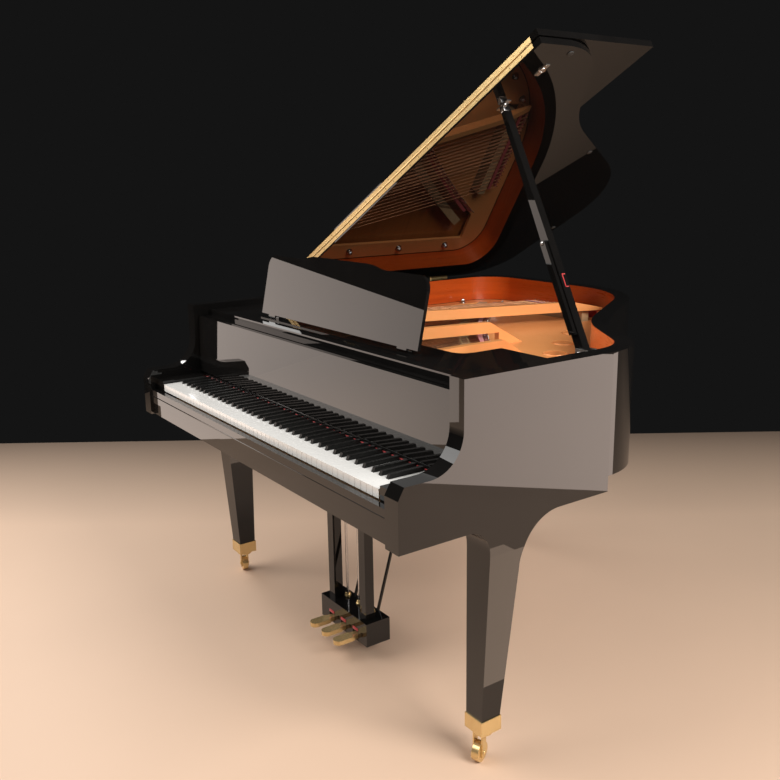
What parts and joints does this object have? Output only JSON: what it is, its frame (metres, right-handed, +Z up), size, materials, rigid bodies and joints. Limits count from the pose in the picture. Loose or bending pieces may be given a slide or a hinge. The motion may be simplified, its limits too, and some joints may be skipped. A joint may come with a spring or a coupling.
{
  "type": "grand piano",
  "caption": "Grand piano in polished black with its lid propped open: curved rim, keyboard, music desk, lyre with pedals, iron plate and strings, on tapered legs with casters.",
  "frame": {"origin": "floor level, under the centre of the piano's box with the lid open on its long prop", "axes": "+X towards the treble end (the player's right), -Y towards the player, +Z up"},
  "size_m": [1.4598, 1.5214, 1.6953],
  "materials": {
    "black_polish": "polyester gloss",
    "beech_rim": "satin varnish",
    "spruce": "satin varnish",
    "maple": "satin",
    "gold_iron": "bronze paint",
    "steel": "polished",
    "copper_winding": "drawn wire",
    "brass": "polished",
    "white_key": "gloss",
    "black_key": "satin",
    "damper_felt": "felt under black wood"
  },
  "bodies": {
    "case": {"outer_rim": "black_polish", "inner_rim": "beech_rim", "keybed": "black_polish", "back_posts": "spruce", "belly_rail": "spruce", "key_blocks": "black_polish", "key_slip": "black_polish", "stretcher": "black_polish", "soundboard": "spruce", "bridges": "maple", "pin_block": "maple", "cast_iron_plate": "gold_iron", "plate_bolts": "steel", "tuning_pins": "steel", "plain_strings": "steel", "wound_strings": "copper_winding", "music_shelf": "black_polish", "rim_fittings": "brass", "front_left_leg": "black_polish", "front_right_leg": "black_polish", "rear_leg": "black_polish", "leg_ferrules": "brass", "lyre": "black_polish"},
    "lid": {"lid_main": "black_polish", "lid_fittings": "brass"},
    "flap": {"lid_flap": "black_polish", "flap_hinge_leaf": "brass"},
    "prop": {"lid_prop": "black_polish"},
    "half_stick": {"short_prop": "black_polish"},
    "tray": {"music_tray": "black_polish"},
    "desk": {"music_desk": "black_polish"},
    "fallboard": {"fallboard": "black_polish"},
    "soft_pedal": {"soft_pedal": "brass"},
    "sostenuto_pedal": {"sostenuto_pedal": "brass"},
    "sustain_pedal": {"sustain_pedal": "brass"},
    "soft_rod": {"soft_rod": "steel"},
    "sostenuto_rod": {"sostenuto_rod": "steel"},
    "sustain_rod": {"sustain_rod": "steel"},
    "dampers": {"dampers": "damper_felt"},
    "action": {"key_frame": "spruce", "action_stack": "maple"},
    "front_right_caster": {"front_right_caster_fork": "brass"},
    "front_right_wheel": {"front_right_caster_wheel": "brass"},
    "front_left_caster": {"front_left_caster_fork": "brass"},
    "front_left_wheel": {"front_left_caster_wheel": "brass"},
    "rear_caster": {"rear_caster_fork": "brass"},
    "rear_wheel": {"rear_caster_wheel": "brass"},
    "keys_c": {"keys_c": "white_key"},
    "keys_c_sharp": {"keys_c_sharp": "black_key"},
    "keys_d": {"keys_d": "white_key"},
    "keys_d_sharp": {"keys_d_sharp": "black_key"},
    "keys_e": {"keys_e": "white_key"},
    "keys_f": {"keys_f": "white_key"},
    "keys_f_sharp": {"keys_f_sharp": "black_key"},
    "keys_g": {"keys_g": "white_key"},
    "keys_g_sharp": {"keys_g_sharp": "black_key"},
    "keys_a": {"keys_a": "white_key"},
    "keys_a_sharp": {"keys_a_sharp": "black_key"},
    "keys_b": {"keys_b": "white_key"}
  },
  "joints": [
    {"name": "lid_hinge", "type": "hinge", "parent": "case", "child": "lid", "pos_m": [-0.71614, 0.17934, 0.9745], "axis": [0, -1, 0], "range_deg": [0, 20]},
    {"name": "flap_hinge", "type": "hinge", "parent": "lid", "child": "flap", "pos_m": [-0.08677, -0.22866, 1.337], "axis": [0.8805, 0, 0.4741], "range_deg": [0, 180]},
    {"name": "prop_hinge", "type": "hinge", "parent": "case", "child": "prop", "pos_m": [0.65986, -0.16366, 0.962], "axis": [0.0152, 0.9995, -0.0279], "range_deg": [-61.5, 0]},
    {"name": "half_stick_hinge", "type": "hinge", "parent": "prop", "child": "half_stick", "pos_m": [0.5236, -0.1696, 1.21269], "axis": [-0.0152, -0.9995, 0.0279], "range_deg": [0, 90]},
    {"name": "tray_slide", "type": "slide", "parent": "case", "child": "tray", "axis": [0, 1, 0], "range_m": [0, 0.05]},
    {"name": "desk_hinge", "type": "hinge", "parent": "tray", "child": "desk", "pos_m": [0.00986, -0.47066, 0.9632], "axis": [1, 0, 0], "range_deg": [-78, 0]},
    {"name": "fallboard_hinge", "type": "hinge", "parent": "case", "child": "fallboard", "pos_m": [0.00986, -0.57266, 0.76], "axis": [1, 0, 0], "range_deg": [0, 92]},
    {"name": "soft_pedal_hinge", "type": "hinge", "parent": "case", "child": "soft_pedal", "pos_m": [-0.05614, -0.43466, 0.0605], "axis": [1, 0, 0], "range_deg": [0, 7], "stiffness_Nm_per_rad": 15, "springref_deg": -5.73},
    {"name": "soft_rod_slide", "type": "slide", "parent": "case", "child": "soft_rod", "axis": [0, 0, 1], "range_m": [0, 0.0045]},
    {"name": "sostenuto_pedal_hinge", "type": "hinge", "parent": "case", "child": "sostenuto_pedal", "pos_m": [0.00986, -0.43466, 0.0605], "axis": [1, 0, 0], "range_deg": [0, 7], "stiffness_Nm_per_rad": 15, "springref_deg": -5.73},
    {"name": "sostenuto_rod_slide", "type": "slide", "parent": "case", "child": "sostenuto_rod", "axis": [0, 0, 1], "range_m": [0, 0.0045]},
    {"name": "sustain_pedal_hinge", "type": "hinge", "parent": "case", "child": "sustain_pedal", "pos_m": [0.07586, -0.43466, 0.0605], "axis": [1, 0, 0], "range_deg": [0, 7], "stiffness_Nm_per_rad": 15, "springref_deg": -5.73},
    {"name": "sustain_rod_slide", "type": "slide", "parent": "case", "child": "sustain_rod", "axis": [0, 0, 1], "range_m": [0, 0.0045]},
    {"name": "damper_lift", "type": "slide", "parent": "case", "child": "dampers", "axis": [0, 0, 1], "range_m": [0, 0.006]},
    {"name": "keyboard_shift", "type": "slide", "parent": "case", "child": "action", "axis": [1, 0, 0], "range_m": [0, 0.003]},
    {"name": "keys_c_hinge", "type": "hinge", "parent": "action", "child": "keys_c", "pos_m": [0.00986, -0.50766, 0.705], "axis": [1, 0, 0], "range_deg": [0, 2.5], "stiffness_Nm_per_rad": 20, "springref_deg": -3.44},
    {"name": "keys_c_sharp_hinge", "type": "hinge", "parent": "action", "child": "keys_c_sharp", "pos_m": [0.00986, -0.50766, 0.705], "axis": [1, 0, 0], "range_deg": [0, 2.5], "stiffness_Nm_per_rad": 20, "springref_deg": -3.44},
    {"name": "keys_d_hinge", "type": "hinge", "parent": "action", "child": "keys_d", "pos_m": [0.00986, -0.50766, 0.705], "axis": [1, 0, 0], "range_deg": [0, 2.5], "stiffness_Nm_per_rad": 20, "springref_deg": -3.44},
    {"name": "keys_d_sharp_hinge", "type": "hinge", "parent": "action", "child": "keys_d_sharp", "pos_m": [0.00986, -0.50766, 0.705], "axis": [1, 0, 0], "range_deg": [0, 2.5], "stiffness_Nm_per_rad": 20, "springref_deg": -3.44},
    {"name": "keys_e_hinge", "type": "hinge", "parent": "action", "child": "keys_e", "pos_m": [0.00986, -0.50766, 0.705], "axis": [1, 0, 0], "range_deg": [0, 2.5], "stiffness_Nm_per_rad": 20, "springref_deg": -3.44},
    {"name": "keys_f_hinge", "type": "hinge", "parent": "action", "child": "keys_f", "pos_m": [0.00986, -0.50766, 0.705], "axis": [1, 0, 0], "range_deg": [0, 2.5], "stiffness_Nm_per_rad": 20, "springref_deg": -3.44},
    {"name": "keys_f_sharp_hinge", "type": "hinge", "parent": "action", "child": "keys_f_sharp", "pos_m": [0.00986, -0.50766, 0.705], "axis": [1, 0, 0], "range_deg": [0, 2.5], "stiffness_Nm_per_rad": 20, "springref_deg": -3.44},
    {"name": "keys_g_hinge", "type": "hinge", "parent": "action", "child": "keys_g", "pos_m": [0.00986, -0.50766, 0.705], "axis": [1, 0, 0], "range_deg": [0, 2.5], "stiffness_Nm_per_rad": 20, "springref_deg": -3.44},
    {"name": "keys_g_sharp_hinge", "type": "hinge", "parent": "action", "child": "keys_g_sharp", "pos_m": [0.00986, -0.50766, 0.705], "axis": [1, 0, 0], "range_deg": [0, 2.5], "stiffness_Nm_per_rad": 20, "springref_deg": -3.44},
    {"name": "keys_a_hinge", "type": "hinge", "parent": "action", "child": "keys_a", "pos_m": [0.00986, -0.50766, 0.705], "axis": [1, 0, 0], "range_deg": [0, 2.5], "stiffness_Nm_per_rad": 20, "springref_deg": -3.44},
    {"name": "keys_a_sharp_hinge", "type": "hinge", "parent": "action", "child": "keys_a_sharp", "pos_m": [0.00986, -0.50766, 0.705], "axis": [1, 0, 0], "range_deg": [0, 2.5], "stiffness_Nm_per_rad": 20, "springref_deg": -3.44},
    {"name": "keys_b_hinge", "type": "hinge", "parent": "action", "child": "keys_b", "pos_m": [0.00986, -0.50766, 0.705], "axis": [1, 0, 0], "range_deg": [0, 2.5], "stiffness_Nm_per_rad": 20, "springref_deg": -3.44},
    {"name": "front_right_caster_swivel", "type": "hinge", "parent": "case", "child": "front_right_caster", "pos_m": [0.65936, -0.46866, 0.075], "axis": [0, 0, 1], "continuous": true},
    {"name": "front_right_wheel_spin", "type": "hinge", "parent": "front_right_caster", "child": "front_right_wheel", "pos_m": [0.66484, -0.4837, 0.025], "axis": [-0.9397, -0.342, 0], "continuous": true},
    {"name": "front_left_caster_swivel", "type": "hinge", "parent": "case", "child": "front_left_caster", "pos_m": [-0.63964, -0.46866, 0.075], "axis": [0, 0, 1], "continuous": true},
    {"name": "front_left_wheel_spin", "type": "hinge", "parent": "front_left_caster", "child": "front_left_wheel", "pos_m": [-0.65509, -0.46452, 0.025], "axis": [0.2588, 0.9659, 0], "continuous": true},
    {"name": "rear_caster_swivel", "type": "hinge", "parent": "case", "child": "rear_caster", "pos_m": [-0.33014, 0.46934, 0.075], "axis": [0, 0, 1], "continuous": true},
    {"name": "rear_wheel_spin", "type": "hinge", "parent": "rear_caster", "child": "rear_wheel", "pos_m": [-0.31985, 0.4816, 0.025], "axis": [0.766, -0.6428, 0], "continuous": true}
  ],
  "couplings": [
    {"joint": "soft_rod_slide", "follows": "soft_pedal_hinge", "m_per_rad": 0.0368},
    {"joint": "sostenuto_rod_slide", "follows": "sostenuto_pedal_hinge", "m_per_rad": 0.0368},
    {"joint": "sustain_rod_slide", "follows": "sustain_pedal_hinge", "m_per_rad": 0.0368},
    {"joint": "damper_lift", "follows": "sustain_pedal_hinge", "m_per_rad": 0.049},
    {"joint": "keyboard_shift", "follows": "soft_pedal_hinge", "m_per_rad": 0.0245}
  ]
}
